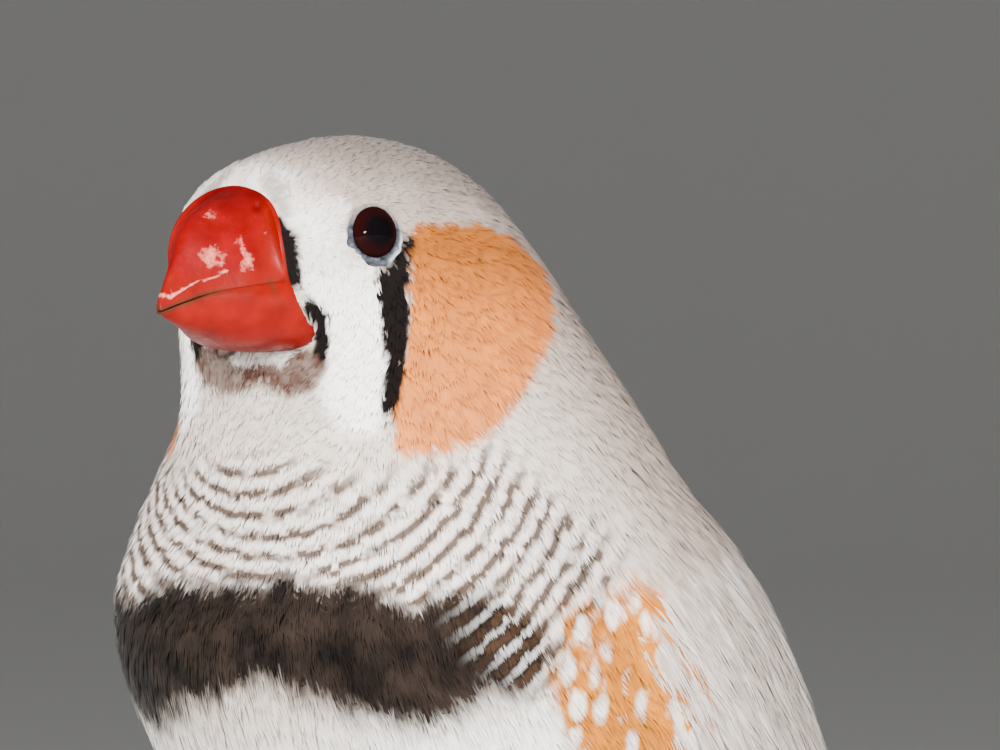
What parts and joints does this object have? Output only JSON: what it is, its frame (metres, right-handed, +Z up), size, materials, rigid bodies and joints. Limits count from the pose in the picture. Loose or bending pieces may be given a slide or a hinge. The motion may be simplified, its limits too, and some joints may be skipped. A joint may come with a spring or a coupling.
{
  "type": "zebra finch",
  "caption": "Life-size still model of a pale male zebra finch standing upright on a flat floor, wings folded",
  "frame": {"origin": "on the floor, under the middle of the bird's box", "axes": "the bill points along -Y and the tail along +Y, +X is the bird's left, +Z is up"},
  "size_m": [0.0376, 0.0994, 0.0684],
  "materials": {
    "feathers_body": "soft matte contour feathers, pale silver grey with markings",
    "feathers_wing": "matte wing feathers, pale cream grey",
    "feathers_tail": "matte tail feathers, dark with white bars on the coverts",
    "bill_horn": "waxy red and orange horn",
    "eye": "clear wet cornea over a dark red-brown iris",
    "leg_scales": "orange scaled skin",
    "claws": "brown horn"
  },
  "bodies": {
    "root": {"head": "feathers_body", "neck": "feathers_body", "torso": "feathers_body", "rump": "feathers_body", "thigh_left": "feathers_body", "thigh_right": "feathers_body", "wing_left": "feathers_wing", "wing_right": "feathers_wing", "tail": "feathers_tail", "bill_upper": "bill_horn", "bill_lower": "bill_horn", "eye_left": "eye", "eye_right": "eye", "shank_left": "leg_scales", "shank_right": "leg_scales", "foot_left": "leg_scales", "foot_right": "leg_scales", "claw_inner_left": "claws", "claw_middle_left": "claws", "claw_outer_left": "claws", "claw_hind_left": "claws", "claw_inner_right": "claws", "claw_middle_right": "claws", "claw_outer_right": "claws", "claw_hind_right": "claws"}
  },
  "joints": []
}
